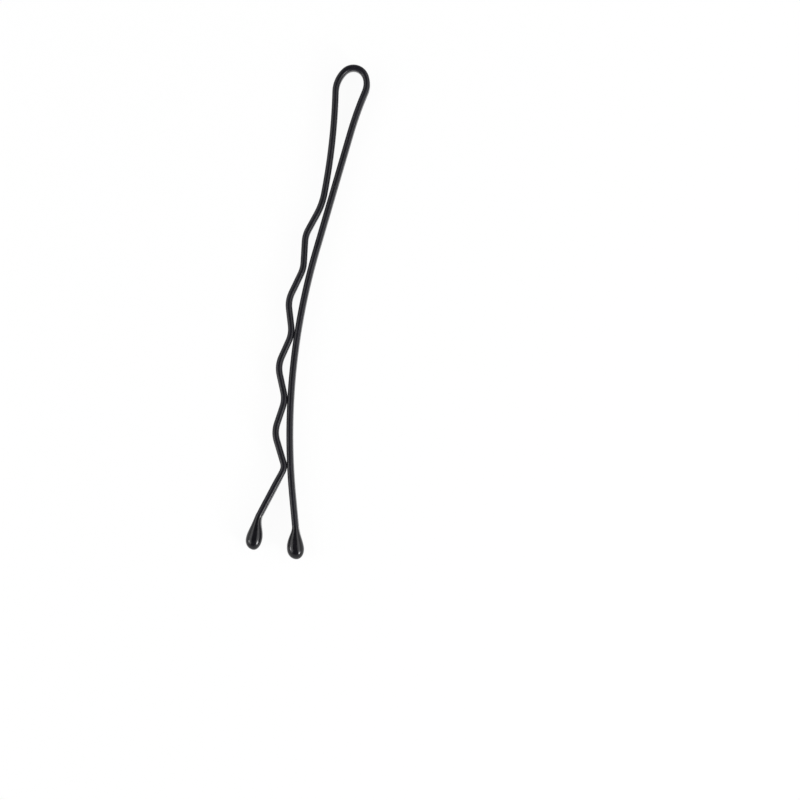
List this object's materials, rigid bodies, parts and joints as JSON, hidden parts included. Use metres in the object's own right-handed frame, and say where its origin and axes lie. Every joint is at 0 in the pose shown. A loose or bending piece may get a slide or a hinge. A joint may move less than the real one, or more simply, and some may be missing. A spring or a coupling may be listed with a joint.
{
  "type": "bobby pin",
  "caption": "Flat spring-wire hair pin with a round crown, one plain bowed leg, one crimped wavy leg that grips against it, and dipped bead tips.",
  "frame": {"origin": "centre of the crown's round top, at the middle of the wire's width", "axes": "+Y from the tips towards the crown, +Z square to the plane of the bends, which is up as the pin lies flat, and +X towards the plain leg's side"},
  "size_m": [0.0063, 0.0509, 0.0018],
  "materials": {
    "wire_enamel": "satin black enamel",
    "bead_resin": "gloss black dipped resin"
  },
  "bodies": {
    "straight_side": {"straight_leg": "wire_enamel", "crown_bend": "wire_enamel", "straight_leg_tip": "bead_resin"},
    "wavy_side": {"wavy_leg": "wire_enamel", "wavy_leg_tip": "bead_resin"}
  },
  "joints": [
    {"name": "opening", "type": "hinge", "parent": "straight_side", "child": "wavy_side", "pos_m": [0, 0, 0], "axis": [0, 0, -1], "range_deg": [0, 15], "stiffness_Nm_per_rad": 0.12, "deforming": ["crown_bend"]}
  ]
}
